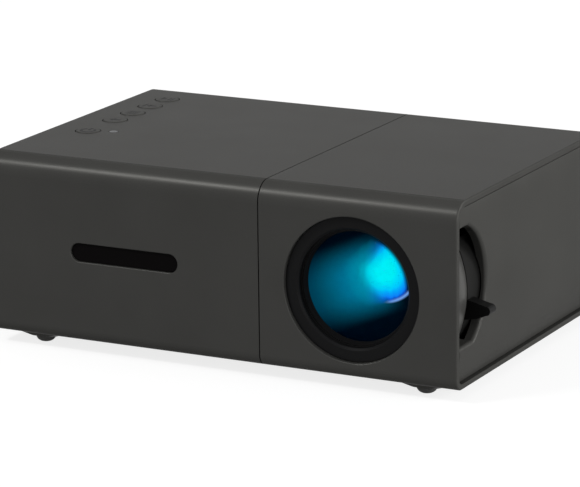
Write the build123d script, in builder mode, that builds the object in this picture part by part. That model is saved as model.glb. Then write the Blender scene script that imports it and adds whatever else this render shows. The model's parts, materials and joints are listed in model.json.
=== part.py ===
from build123d import *
from math import asin, atan2, cos, degrees, radians, sin, sqrt
import os

os.makedirs("parts", exist_ok=True)

# Mini projector. X runs to the focus end, -Y is the lens side, +Z is up.
# The origin is the middle of the whole object's footprint, on the surface it stands on.

# Body
left_section = 74.5
right_section = 51.5
body_d = 86.0
body_h = 45.0
foot_h = 3.0
lever_proud = 3.9
wall = 2.2
rim = 1.4
top_round = 5.0
bottom_round = 3.0
seam_gap = 0.3
spigot_len = 2.5
fit_gap = 0.15
panel_gap = 0.35
panel_sunk = 0.1
panel_t = 2.4
crown_r = 30.0
crown_top = 3.8
crown_bottom = 6.8
edge_round = 0.4
opening_round = 0.3

body_w = left_section + right_section
x_left = -(body_w + lever_proud) / 2
x_right = x_left + body_w
y_front = -body_d / 2
y_back = body_d / 2
z_base = foot_h
z_top = foot_h + body_h
z_mid = (z_base + z_top) / 2
seam_x = x_left + left_section
floor_z = z_base + wall
ceiling_z = z_top - wall
panel_inset = rim + panel_gap
panel_seat = panel_sunk + panel_t

# Lens
lens_off_middle = 1.5
lens_below_middle = 1.0
lens_hole_r = 17.6
bezel_gap = 0.15
bezel_sunk = 1.0
bezel_flange_r = 18.4
bezel_flange_t = 1.1
bezel_eye_r = 14.3
bezel_bevel = 0.5
bezel_clear = 0.3
cell_r = 15.2
cell_wall = 1.2
cell_front = 2.5
cell_len = 24.0
cell_stop = 3.0
cell_stop_t = 1.0
waist_step = 1.5
waist_front = 6.0
waist_back = 14.0
waist_slope = 1.0
glass_gap = 0.1
glass_front = 2.2
front_glass_t = 3.0
front_glass_bulges = (1.6, 0.6)
middle_glass_in = 8.0
middle_glass_t = 3.0
middle_glass_bulges = (0.4, 1.2)
rear_glass_in = 6.0
rear_glass_t = 3.4
rear_glass_bulges = (1.0, 1.6)
retainer_front = 0.3
retainer_w = 0.6
run_gap = 0.1
tube_wall = 1.3
ring_wall = 2.2
ring_front = 4.0
ring_back = 21.5
tube_flange = 37.2
tube_flange_t = 2.1
tube_back = 24.0
tube_screw_in = 3.0
tube_screw_bite = 2.9
lens_from_right = right_section / 2 + lens_off_middle
lens_x = x_right - lens_from_right
lens_z = z_mid - lens_below_middle
tube_in_r = cell_r + run_gap
tube_out_r = tube_in_r + tube_wall
ring_in_r = tube_out_r + run_gap
ring_out_r = ring_in_r + ring_wall
lens_axis = Axis((lens_x, 0, lens_z), (0, 1, 0))
lens_plane = Plane((lens_x, 0, lens_z), x_dir=(1, 0, 0), z_dir=(0, 0, 1))

# Focus motion: the lever turns this far up, and the cell moves back with it
lever_down = 1.0
lever_up = 26.0
cell_per_degree = 0.085
cam_pin_r = 1.2
cam_stem_r = 0.9
cam_stem_sunk = 0.3
cam_pin_sunk = 0.5
cam_pin_y = 12.0
cam_gap = 0.3
shutter_sunk = 1.85
shutter_wall = 1.2
shutter_front = 10.0
shutter_back = 21.0
shutter_clear = 0.4
web_bite = 0.4
web_rib_half_angle = 2.0
web_rib_in = 8.0
web_rib_short = 1.0
lever_angle = -9.0
lever_w = 3.4
lever_root = 5.2
lever_nose = 1.1
lever_bite = 1.6
lever_hollow_x = 2.2
lever_hollow_z = 0.9
lever_peg_r = 1.0
lever_peg_gap = 0.05
shutter_r = lens_from_right - shutter_sunk
shutter_low = lever_down - degrees(asin((lens_z - floor_z - shutter_clear) / shutter_r))
shutter_high = degrees(asin((ceiling_z - lens_z - shutter_clear) / shutter_r)) - lever_up

# Opening for the lever in the focus panel
notch_r = 15.8
notch_y = 1.1
notch_above_lens = 2.2
notch_down = 11.2
notch_up = 17.0
notch_round = 0.9
notch_wall = 1.2
lip_sunk = 0.15
lip_gap = 0.4
lip_r = lens_from_right - lip_sunk
lip_end_r = shutter_r

# Infrared window
ir_from_left = 37.75
ir_up = 22.6
ir_w = 29.5
ir_h = 4.6
ir_sunk = 0.6
ir_gap = 0.15
ir_flange = 1.5
ir_flange_t = 1.0
ir_board_w = 16.0
ir_board_t = 1.2
ir_board_in = 1.0
ir_board_over = 4.0
receiver_w = 6.0
receiver_h = 6.4
receiver_t = 2.6
receiver_dome_r = 2.2
receiver_dome_h = 1.6

# Keys on the top
key_r = 3.1
key_gap = 0.2
key_from_left = 10.2
power_key_from_back = 54.7
first_key_from_back = 41.2
key_pitch = 9.0
key_travel = 0.4
key_flange_r = 3.9
key_flange_t = 0.8
key_slack = 0.1
key_proud = 0.15
key_round = 0.3
lamp_from_left = 16.4
lamp_from_back = 52.7
lamp_r = 1.1
lamp_collar = 0.8
switch_press = 0.05
switch_body = 5.0
switch_body_h = 1.5
switch_stem_r = 1.1
switch_stem_h = 0.4
keypad_t = 1.2
keypad_left = 4.0
keypad_right = 20.0
keypad_from_back = 8.0
keypad_len = 52.0
keypad_post_r = 2.0
keypad_head_r = 1.9
keypad_post_x = 17.5
keypad_post_in = 3.0

# Feet and tripod thread
foot_in_x = 11.0
foot_in_y = 7.3
foot_pad_l = 9.0
foot_pad_w = 6.4
foot_flare_l = 17.0
foot_flare_w = 8.6
foot_pad_h = 1.2
foot_r = 2.6
foot_stem_r = 1.5
foot_stem_len = 2.6
foot_flat_r = 1.2
foot_stem_gap = 0.05
foot_bulge = 0.45
tripod_boss_r = 6.5
tripod_boss_clear = 0.5
tripod_cap = 1.5
insert_r = 4.6
insert_len = 7.0
insert_flange_r = 5.6
insert_flange_t = 0.8
thread_r = 3.2
thread_len = 6.0

# Fan and speaker behind the vent panel
fan_size = 30.0
fan_depth = 10.0
fan_bore_r = 14.2
fan_wall_t = 1.2
fan_y = 17.0
fan_hub_r = 7.0
fan_blade_r = 13.4
fan_blades = 7
fan_blade_t = 1.0
fan_blade_twist = 26.0
fan_blade_in = 0.5
fan_blade_bite = 0.8
fan_cap_t = 1.2
fan_strut_w = 2.0
fan_hole_pitch = 24.0
fan_screw_r = 1.4
fan_screw_bite = 1.4
fan_pad_r = 2.6
fan_pad_t = 1.8
fan_shaft_r = 1.5
fan_floor_gap = 2.5
fan_face_gap = 0.8
fan_back_gap = 0.4
speaker_r = 14.0
speaker_rim_w = 2.0
speaker_rim_t = 2.0
speaker_basket_r = 11.0
speaker_basket_t = 4.0
speaker_magnet_r = 8.0
speaker_surround_in = 0.8
speaker_cone_in = 3.0
speaker_cap_r = 4.5
speaker_cap_h = 1.3
speaker_t = 7.0
speaker_y = -22.0
speaker_up = 2.5
grille_rows = 9
grille_row_pitch = 3.6
grille_cols = 5
grille_col_pitch = 14.8
grille_slot_w = 12.0
grille_slot_h = 1.8
vent_rows = 9
vent_row_pitch = 3.6
vent_w = 34.0
vent_h = 1.8

# Boards
chassis_t = 1.6
chassis_post_h = 3.5
board_t = 1.6
chassis_front = 4.0
board_left = 17.5
board_from_seam = 1.5
board_right = left_section - board_from_seam
board_front = 8.0
board_from_back = 5.0
board_back = body_d - board_from_back
post_r = 2.6
board_post_in = 3.5
board_screw_bite = 4.2
board_clear = 0.4
board_post_front = 12.0
board_post_clear = 17.0
board_post_back = board_back - board_post_clear
chassis_screw_left = 28.0
chassis_screw_in = 7.0
chassis_screw_front = 24.0
chassis_screw_clear = 23.0
board_bottom = floor_z + chassis_t + chassis_post_h
board_top = board_bottom + board_t

capacitor_r = 3.15
capacitor_h = 7.0
flex_in = 7.0
flex_fold_w = 6.0
flex_at = 1.2
flex_t = 0.4
flex_w = 10.0
flex_gap = 0.5
connector_h = 2.0
connector_front = 1.2
connector_back = 1.6
connector_end = 1.0

# Optical engine behind the lens
box_half_w = 20.5
box_wall = 2.0
box_face_t = 3.0
box_back = 66.0
box_roof_gap = 2.0
plate_gap = 0.2
plate_rib = 1.2
box_eye_r = 15.6
box_screw_x = 15.8
box_screw_front = 28.3
box_screw_back = 57.0
box_post_r = 2.4
box_post_h = 5.5
base_screw_bite = 3.6
plates = {
    "front_fresnel": (31.0, 2.0),
    "lcd_panel": (36.0, 2.6),
    "rear_fresnel": (41.5, 2.0),
    "heat_glass": (47.0, 1.1),
}
led_plate = 24.0
led_plate_t = 1.6
led_dome_r = 3.6
led_dome_h = 2.6
led_dome_edge = 0.6
condenser_from_led = 10.5
condenser_r = 11.0
condenser_edge = 1.4
condenser_bulges = (4.0, 0.2)
holder_r = 12.4
holder_seat = 1.4
sink_base_t = 3.0
sink_w = 38.0
sink_h = 36.0
sink_fins = 11
sink_fin_t = 1.2
sink_gap = 1.2

# Ports on the back
ports_from_seam = 2.75
ports_w = 52.0
ports_low = 4.0
ports_high = 19.6
ports_sunk = 0.8
ports_round = 1.5
port_gap = 0.3
ports_flange_side = 1.5
ports_flange_up = 0.8
ports_flange_t = 1.2
dc_at = -20.6
hdmi_at = -6.0
usb_at = 10.4
av_at = 21.9
hdmi_size = (15.0, 5.6)
hdmi_corner = 2.0
hdmi_tongue = (11.0, 1.4, 0.4)
usb_size = (13.2, 5.9)
usb_corner = 0.5
usb_tongue = (10.6, 1.8, 1.0)
tongue_sunk = 1.5
jack_w = 6.6
jack_bore_r = 1.8
jack_wall = 0.8
jack_hole_gap = 0.2
jack_len = 12.0
dc_w = 9.0
dc_h = 10.0
dc_bore_r = 2.8
dc_pin_r = 1.0
dc_pin_sunk = 1.0
card_w = 13.0
card_h = 1.9
card_wall = 1.0
socket_len = 13.0
socket_back_t = 2.0
shell_t = 0.5

# Fasteners
screw_r = 1.3
head_r = 2.3
head_h = 1.2
head_sunk = 0.1
drive_l = 2.4
drive_w = 0.6
drive_depth = 0.6


def at_x(x):
    """A plane across the body, with local axes Y and Z and its normal along +X."""
    return Plane.YZ.offset(x)


def at_y(y):
    """An upright plane facing the front, with local axes X and Z and its normal along -Y."""
    return Plane.XZ.offset(-y)


def at_z(z):
    """A level plane."""
    return Plane.XY.offset(z)


def deep(distance):
    """The Y value this far behind the front face."""
    return y_front + distance


def body_section(x, inset):
    """The body's cross-section at one X, drawn this far inside its outer surface."""
    with BuildSketch(at_x(x)) as section:
        with Locations((0, z_mid)):
            Rectangle(body_d - 2 * inset, body_h - 2 * inset)
        fillet(section.vertices().group_by(Axis.Y)[-1], top_round - inset)
        fillet(section.vertices().group_by(Axis.Y)[0], bottom_round - inset)
    return section.sketch


def lens_sector(y, inner_r, outer_r, start, end):
    """A ring segment about the lens axis, between two angles above the horizontal."""
    with BuildSketch(at_y(y)) as segment:
        with BuildLine():
            outer = CenterArc((lens_x, lens_z), outer_r, start, end - start)
            inner = CenterArc((lens_x, lens_z), inner_r, start, end - start)
            Line(outer @ 0, inner @ 0)
            Line(outer @ 1, inner @ 1)
        make_face()
    return segment.sketch


def lens_profile(*corners):
    """A closed outline of radius and Y pairs on the level plane through the lens axis."""
    with BuildSketch(lens_plane) as outline:
        with BuildLine():
            Polyline(*corners, close=True)
        make_face()
    return outline.sketch


def lens_element(front, edge_t, radius, bulges):
    """A glass lens about the lens axis: Y of its front edge, edge thickness, radius, bulges."""
    front_bulge, back_bulge = bulges
    middle = front + edge_t / 2
    with BuildSketch(lens_plane) as outline:
        with BuildLine():
            Line((0, front - front_bulge), (0, front + edge_t + back_bulge))
            TangentArc((0, front - front_bulge), (radius, front), tangent=(1, 0))
            Line((radius, front), (radius, middle))
            Line((radius, middle), (radius, front + edge_t))
            TangentArc((0, front + edge_t + back_bulge), (radius, front + edge_t), tangent=(1, 0))
        make_face()
    return outline.sketch


def block(low, high, mode=Mode.ADD):
    """A box between two opposite corners."""
    size = [far - near for near, far in zip(low, high)]
    with Locations(low):
        Box(*size, align=(Align.MIN, Align.MIN, Align.MIN), mode=mode)


def post(x, y, z_low, z_high, radius, mode=Mode.ADD):
    """An upright round post."""
    with Locations((x, y, z_low)):
        Cylinder(radius, z_high - z_low, align=(Align.CENTER, Align.CENTER, Align.MIN), mode=mode)


def rod_y(x, z, y_low, y_high, radius, mode=Mode.ADD):
    """A level round rod that runs front to back."""
    with BuildSketch(at_y(y_high)) as circle:
        with Locations((x, z)):
            Circle(radius)
    extrude(circle.sketch, amount=y_high - y_low, mode=mode)


def rod_x(y, z, x_low, x_high, radius, mode=Mode.ADD):
    """A level round rod that runs end to end."""
    with BuildSketch(at_x(x_low)) as circle:
        with Locations((y, z)):
            Circle(radius)
    extrude(circle.sketch, amount=x_high - x_low, mode=mode)


def foot_pad(x, y):
    """A flared pad under the body, with a blind hole for the foot's stem."""
    with BuildSketch(at_z(z_base)) as flare:
        with Locations((x, y)):
            SlotOverall(foot_flare_l, foot_flare_w)
    with BuildSketch(at_z(z_base - foot_pad_h)) as pad:
        with Locations((x, y)):
            SlotOverall(foot_pad_l, foot_pad_w)
    loft([pad.sketch, flare.sketch])
    post(x, y, z_base - foot_pad_h, z_base - foot_pad_h + foot_stem_len, foot_stem_r, Mode.SUBTRACT)


def optical_plate(name):
    """A flat plate that stands on the light tunnel's floor and fills it."""
    front, depth = plates[name]
    block(
        (tunnel_left + plate_gap, deep(front), tunnel_low),
        (tunnel_right - plate_gap, deep(front + depth), tunnel_high - plate_gap),
    )


def socket_outline(at, mid_z, size, corner, margin):
    """A socket's outline on the port plate, with its lower corners cut, drawn this far outside it."""
    width, height = size
    with BuildSketch(at_y(plate_y)) as outline:
        with Locations((ports_x + at, mid_z)):
            Rectangle(width + 2 * margin, height + 2 * margin)
        lower = outline.vertices().group_by(Axis.Y)[0]
        chamfer(lower, corner + margin * (2 - sqrt(2)))
    return outline.sketch


def shell_socket(at, mid_z, size, corner, tongue):
    """A sheet-metal socket: its outline as above, then its tongue's width, thickness and rise."""
    x = ports_x + at
    tongue_w, tongue_t, tongue_up = tongue
    extrude(socket_outline(at, mid_z, size, corner, 0), amount=socket_len)
    extrude(
        socket_outline(at, mid_z, size, corner, -shell_t),
        amount=socket_len - socket_back_t,
        mode=Mode.SUBTRACT,
    )
    block(
        (x - tongue_w / 2, socket_front + socket_back_t, mid_z + tongue_up - tongue_t / 2),
        (x + tongue_w / 2, plate_y - tongue_sunk, mid_z + tongue_up + tongue_t / 2),
    )


def crowned_plate(face_x, outward):
    """An end panel: flat in the middle and rolled back towards its top and bottom edges."""
    back_x = face_x - outward * panel_t
    roll_low = z_base + panel_inset + crown_bottom
    roll_high = z_top - panel_inset - crown_top
    reach_low = roll_low - z_base
    reach_high = z_top - roll_high
    bottom_corner = (face_x - outward * (crown_r - sqrt(crown_r ** 2 - reach_low ** 2)), z_base)
    top_corner = (face_x - outward * (crown_r - sqrt(crown_r ** 2 - reach_high ** 2)), z_top)
    behind_x = back_x - outward * panel_t
    with BuildPart() as plate:
        extrude(body_section(min(face_x, back_x), panel_inset), amount=panel_t)
        with BuildSketch(at_y(y_back)) as side:
            with BuildLine():
                Line((face_x, roll_low), (face_x, roll_high))
                TangentArc((face_x, roll_low), bottom_corner, tangent=(0, -1))
                TangentArc((face_x, roll_high), top_corner, tangent=(0, 1))
                Polyline(bottom_corner, (behind_x, z_base), (behind_x, z_top), top_corner)
            make_face()
        extrude(side.sketch, amount=body_d, mode=Mode.INTERSECT)
    return plate.part


# Places worked out from the sizes above
keys_x = x_left + key_from_left
key_names = ["back_key", "menu_key", "source_key", "play_key"]
key_places = {"power_key": (keys_x, y_back - power_key_from_back)}
for number, name in enumerate(key_names):
    key_places[name] = (keys_x, y_back - first_key_from_back + number * key_pitch)
lamp_place = (x_left + lamp_from_left, y_back - lamp_from_back)
keypad_back = y_back - keypad_from_back
keypad_front = keypad_back - keypad_len
key_flange_top = ceiling_z - key_slack
key_flange_bottom = key_flange_top - key_flange_t
switch_top = key_flange_bottom - key_travel - switch_press
keypad_top = switch_top - switch_stem_h - switch_body_h
keypad_posts = [
    (x_left + keypad_post_x, y)
    for y in (keypad_front + keypad_post_in, keypad_back - keypad_len / 2, keypad_back - keypad_post_in)
]

foot_places = [
    (x, y)
    for x in (x_left + foot_in_x, x_right - foot_in_x)
    for y in (y_front + foot_in_y, y_back - foot_in_y)
]
tripod_x = x_left + body_w / 2
insert_top = z_base + insert_len
tripod_top = insert_top + tripod_cap

ports_x = x_left + left_section - ports_from_seam - ports_w / 2
ports_z = z_base + (ports_low + ports_high) / 2
ports_h = ports_high - ports_low
plate_y = y_back - ports_sunk
inner_back = y_back - wall
plate_inner_y = inner_back - ports_flange_t
socket_front = plate_y - socket_len
hdmi_z = board_top + hdmi_size[1] / 2
usb_z = board_top + usb_size[1] / 2
jack_z = board_top + jack_w / 2
dc_z = board_top + dc_h / 2
card_z = board_bottom - card_h / 2

ir_x = x_left + ir_from_left
ir_z = z_base + ir_up
fan_x = x_left + panel_seat
fan_back_x = fan_x + fan_depth
fan_z = floor_z + fan_floor_gap + fan_size / 2
fan_screw_places = [
    (fan_y + side_y * fan_hole_pitch / 2, fan_z + side_z * fan_hole_pitch / 2)
    for side_y in (-1, 1)
    for side_z in (-1, 1)
]
speaker_x = x_left + panel_seat
speaker_z = floor_z + speaker_up + speaker_r

board_posts = [
    (x_left + x, deep(y))
    for x in (board_left + board_post_in, board_right - board_post_in)
    for y in (board_post_front, board_post_back)
]
chassis_screws = [
    (x_left + x, deep(y))
    for x in (chassis_screw_left, board_right - chassis_screw_in)
    for y in (chassis_screw_front, board_back - chassis_screw_clear)
]
box_screws = [
    (lens_x + side * box_screw_x, deep(y))
    for side in (-1, 1)
    for y in (box_screw_front, box_screw_back)
]

tube_screw_reach = tube_flange / 2 - tube_screw_in
tube_screw_places = [
    (lens_x + side_x * tube_screw_reach, lens_z + side_z * tube_screw_reach)
    for side_x in (-1, 1)
    for side_z in (-1, 1)
]
cam_first = 90 + lever_down
cam_sweep = lever_up + lever_down
cam_travel = cell_per_degree * cam_sweep
cam_back = deep(cam_pin_y) + cell_per_degree * lever_up
cam_front = deep(cam_pin_y) - cell_per_degree * lever_down

# Main sleeve: the wide left section, a rounded tube open at both ends
with BuildPart() as main_sleeve:
    extrude(body_section(x_left, 0), amount=left_section - seam_gap / 2)
    extrude(body_section(x_left, wall / 2 + fit_gap), amount=left_section + spigot_len)
    extrude(body_section(x_left, wall), amount=left_section + spigot_len, mode=Mode.SUBTRACT)
    extrude(body_section(x_left, rim), amount=panel_seat, mode=Mode.SUBTRACT)
    fillet(main_sleeve.faces().sort_by(Axis.X)[0].outer_wire().edges(), edge_round)
    with BuildSketch(at_y(y_front)) as ir_hole:
        with Locations((ir_x, ir_z)):
            SlotOverall(ir_w, ir_h)
    extrude(ir_hole.sketch, amount=-wall, mode=Mode.SUBTRACT)
    ir_edges = main_sleeve.edges().filter_by_position(Axis.Y, y_front - 0.01, y_front + 0.01)
    ir_edges = ir_edges.filter_by_position(Axis.X, ir_x - ir_w / 2 - 0.1, ir_x + ir_w / 2 + 0.1)
    fillet(ir_edges.filter_by_position(Axis.Z, ir_z - ir_h, ir_z + ir_h), opening_round)
    with BuildSketch(at_y(y_back)) as ports_hole:
        with Locations((ports_x, ports_z)):
            RectangleRounded(ports_w, ports_h, ports_round)
    extrude(ports_hole.sketch, amount=wall, mode=Mode.SUBTRACT)
    for x, y in key_places.values():
        post(x, y, ceiling_z, z_top, key_r + key_gap, Mode.SUBTRACT)
    post(*lamp_place, ceiling_z, z_top, lamp_r + fit_gap, Mode.SUBTRACT)
    for x, y in keypad_posts:
        post(x, y, keypad_top, ceiling_z, keypad_post_r)
        post(x, y, keypad_top, ceiling_z, screw_r - fit_gap, Mode.SUBTRACT)
    for x, y in foot_places[:2]:
        foot_pad(x, y)
    post(tripod_x, 0, floor_z, tripod_top, tripod_boss_r)
    post(tripod_x, 0, z_base, insert_top, insert_r, Mode.SUBTRACT)
    post(tripod_x, 0, z_base, z_base + insert_flange_t, insert_flange_r, Mode.SUBTRACT)
    for x, y in chassis_screws:
        post(x, y, z_base, floor_z, screw_r + fit_gap, Mode.SUBTRACT)
        post(x, y, z_base, z_base + head_h, head_r + fit_gap, Mode.SUBTRACT)
main_sleeve.part.label = "main_sleeve"
export_step(main_sleeve.part, "parts/main_sleeve.step")

# Lens sleeve: the right section, with the lens hole in its front and vents in its back
with BuildPart() as lens_sleeve:
    extrude(body_section(seam_x + seam_gap / 2, 0), amount=x_right - seam_x - seam_gap / 2)
    extrude(body_section(seam_x, wall), amount=x_right - seam_x, mode=Mode.SUBTRACT)
    extrude(body_section(seam_x, wall / 2), amount=spigot_len + seam_gap, mode=Mode.SUBTRACT)
    extrude(body_section(x_right - panel_seat, rim), amount=panel_seat, mode=Mode.SUBTRACT)
    fillet(lens_sleeve.faces().sort_by(Axis.X)[-1].outer_wire().edges(), edge_round)
    rod_y(lens_x, lens_z, y_front, deep(wall), lens_hole_r, Mode.SUBTRACT)
    lens_edges = lens_sleeve.edges().filter_by(GeomType.CIRCLE).sort_by(Axis.Y)
    fillet(lens_edges.filter_by(lambda edge: abs(edge.radius - lens_hole_r) < 0.01)[0], opening_round)
    with BuildSketch(at_y(y_back)) as back_vents:
        with Locations((lens_x, z_mid)):
            with GridLocations(0, vent_row_pitch, 1, vent_rows):
                SlotOverall(vent_w, vent_h)
    extrude(back_vents.sketch, amount=wall, mode=Mode.SUBTRACT)
    for x, y in foot_places[2:]:
        foot_pad(x, y)
    for x, y in box_screws:
        post(x, y, z_base, floor_z, screw_r + fit_gap, Mode.SUBTRACT)
        post(x, y, z_base, z_base + head_h, head_r + fit_gap, Mode.SUBTRACT)
lens_sleeve.part.label = "lens_sleeve"
export_step(lens_sleeve.part, "parts/lens_sleeve.step")

# Vent panel: the left end, with the fan's and speaker's grille
with BuildPart() as vent_panel:
    add(crowned_plate(x_left + panel_sunk, -1))
    with BuildSketch(at_x(x_left)) as grille:
        with Locations((0, z_mid)):
            with GridLocations(grille_col_pitch, grille_row_pitch, grille_cols, grille_rows):
                SlotOverall(grille_slot_w, grille_slot_h)
    extrude(grille.sketch, amount=panel_seat, mode=Mode.SUBTRACT)
    for y, z in fan_screw_places:
        rod_x(y, z, fan_x - fan_pad_t, fan_x, fan_pad_r)
        rod_x(y, z, fan_x - fan_screw_bite, fan_x, fan_screw_r - fit_gap, Mode.SUBTRACT)
vent_panel.part.label = "vent_panel"
export_step(vent_panel.part, "parts/vent_panel.step")

# Focus panel: the right end. The notch leaves the shutter and lever open to the finger,
# and a lip behind it curves in to the shutter's front edge.
face_x = x_right - panel_sunk
notch_floor = lens_z - notch_down
notch_ceiling = lens_z + notch_up
lip_end_y = deep(shutter_front - lip_gap)
with BuildPart() as focus_panel:
    add(crowned_plate(face_x, 1))
    with BuildSketch(at_x(face_x)) as notch:
        with Locations((deep(notch_y), lens_z + notch_above_lens)):
            Circle(notch_r)
        with Locations((deep(notch_y), (notch_floor + notch_ceiling) / 2)):
            Rectangle(3 * notch_r, notch_ceiling - notch_floor, mode=Mode.INTERSECT)
    extrude(notch.sketch, amount=-panel_seat, both=True, mode=Mode.SUBTRACT)
    notch_edges = focus_panel.edges().filter_by_position(Axis.X, face_x - 0.02, face_x + 0.02)
    notch_edges = notch_edges.filter_by(
        lambda edge: deep(panel_inset) < edge.center().Y - 0.1 < deep(notch_y + notch_r)
        and notch_floor - 0.1 < edge.center().Z < notch_ceiling + 0.1
    )
    fillet(notch_edges, notch_round)
    with BuildSketch(lens_plane) as lip:
        with BuildLine():
            TangentArc((lip_r, deep(panel_inset)), (lip_end_r, lip_end_y), tangent=(0, 1))
            Polyline(
                (lip_end_r, lip_end_y),
                (lip_end_r - notch_wall, lip_end_y),
                (lip_r - notch_wall, deep(panel_inset)),
                (lip_r, deep(panel_inset)),
            )
        make_face()
    with BuildPart(mode=Mode.PRIVATE) as lip_ring:
        revolve(lip.sketch, axis=lens_axis)
        block(
            (lens_x + shutter_r / 2, deep(0), notch_floor - notch_wall),
            (face_x, deep(shutter_front), notch_ceiling + notch_wall),
            Mode.INTERSECT,
        )
    add(lip_ring.part)
    for z_low in (notch_floor - notch_wall, notch_ceiling):
        z_high = z_low + notch_wall
        reach = max(abs(z_low - lens_z), abs(z_high - lens_z))
        ledge_x = lens_x + sqrt((lip_end_r - notch_wall) ** 2 - reach ** 2)
        block((ledge_x, deep(panel_inset), z_low), (face_x - notch_round, lip_end_y, z_high))
    block(
        (lens_x, deep(0), z_base),
        (x_right - panel_seat, deep(wall + fit_gap), z_top),
        Mode.SUBTRACT,
    )
    rod_y(lens_x, lens_z, lip_end_y, deep(shutter_back + lip_gap), shutter_r + lip_gap, Mode.SUBTRACT)
focus_panel.part.label = "focus_panel"
export_step(focus_panel.part, "parts/focus_panel.step")

# Port plate: seated in the back of the main sleeve, with one hole for each socket
with BuildPart() as port_plate:
    with BuildSketch(at_y(plate_y)) as plate:
        with Locations((ports_x, ports_z)):
            RectangleRounded(ports_w - 2 * port_gap, ports_h - 2 * port_gap, ports_round - port_gap)
    extrude(plate.sketch, amount=plate_y - inner_back)
    with BuildSketch(at_y(inner_back)) as flange:
        with Locations((ports_x, ports_z)):
            Rectangle(ports_w + 2 * ports_flange_side, ports_h + 2 * ports_flange_up)
    extrude(flange.sketch, amount=ports_flange_t)
    hole_len = wall + ports_flange_t
    hdmi_hole = socket_outline(hdmi_at, hdmi_z, hdmi_size, hdmi_corner, port_gap)
    usb_hole = socket_outline(usb_at, usb_z, usb_size, usb_corner, port_gap)
    for hole in (hdmi_hole, usb_hole):
        extrude(hole, amount=hole_len, mode=Mode.SUBTRACT)
    with BuildSketch(at_y(plate_y)) as holes:
        with Locations((ports_x + av_at, jack_z)):
            Circle(jack_bore_r + jack_wall + jack_hole_gap)
        with Locations((ports_x + dc_at, dc_z)):
            Circle(dc_bore_r + jack_wall + jack_hole_gap)
        with Locations((ports_x + usb_at, card_z)):
            Rectangle(card_w + 2 * port_gap, card_h + 2 * port_gap)
    extrude(holes.sketch, amount=hole_len, mode=Mode.SUBTRACT)
port_plate.part.label = "port_plate"
export_step(port_plate.part, "parts/port_plate.step")

# Lens bezel: the black ring in the lens hole, with its flange behind the front wall
with BuildPart() as lens_bezel:
    bezel_face = deep(bezel_sunk)
    flange_face = deep(wall)
    bezel_back = deep(wall + bezel_flange_t)
    bezel_nose_r = lens_hole_r - bezel_gap
    revolve(
        lens_profile(
            (bezel_eye_r + bezel_bevel, bezel_face),
            (bezel_nose_r, bezel_face),
            (bezel_nose_r, flange_face),
            (bezel_flange_r, flange_face),
            (bezel_flange_r, bezel_back),
            (cell_r + bezel_clear, bezel_back),
            (cell_r + bezel_clear, flange_face),
            (bezel_eye_r, flange_face),
            (bezel_eye_r, bezel_face + bezel_bevel),
        ),
        axis=lens_axis,
    )
lens_bezel.part.label = "lens_bezel"
export_step(lens_bezel.part, "parts/lens_bezel.step")

# Lens tube: fixed to the optical box. The cell slides in it, and the focus ring turns on it.
with BuildPart() as lens_tube:
    revolve(
        lens_profile(
            (tube_in_r, bezel_back),
            (tube_out_r, bezel_back),
            (tube_out_r, deep(tube_back)),
            (tube_in_r, deep(tube_back)),
        ),
        axis=lens_axis,
    )
    flange_front = deep(tube_back - tube_flange_t)
    with BuildSketch(at_y(deep(tube_back))) as flange:
        with Locations((lens_x, lens_z)):
            Rectangle(tube_flange, tube_flange)
            Circle(tube_in_r, mode=Mode.SUBTRACT)
    extrude(flange.sketch, amount=tube_flange_t)
    for x, z in tube_screw_places:
        rod_y(x, z, flange_front, deep(tube_back), screw_r, Mode.SUBTRACT)
        rod_y(x, z, flange_front, flange_front + head_h, head_r, Mode.SUBTRACT)
    for side in (-1, 1):
        with BuildSketch(at_z(lens_z)) as key_way:
            with Locations((lens_x, (cam_front + cam_back) / 2)):
                SlotOverall(
                    cam_travel + 2 * (cam_pin_r + cam_gap),
                    2 * (cam_pin_r + cam_gap),
                    rotation=90,
                )
        extrude(key_way.sketch, amount=side * (tube_out_r + 1), mode=Mode.SUBTRACT)
lens_tube.part.label = "lens_tube"
export_step(lens_tube.part, "parts/lens_tube.step")

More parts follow.
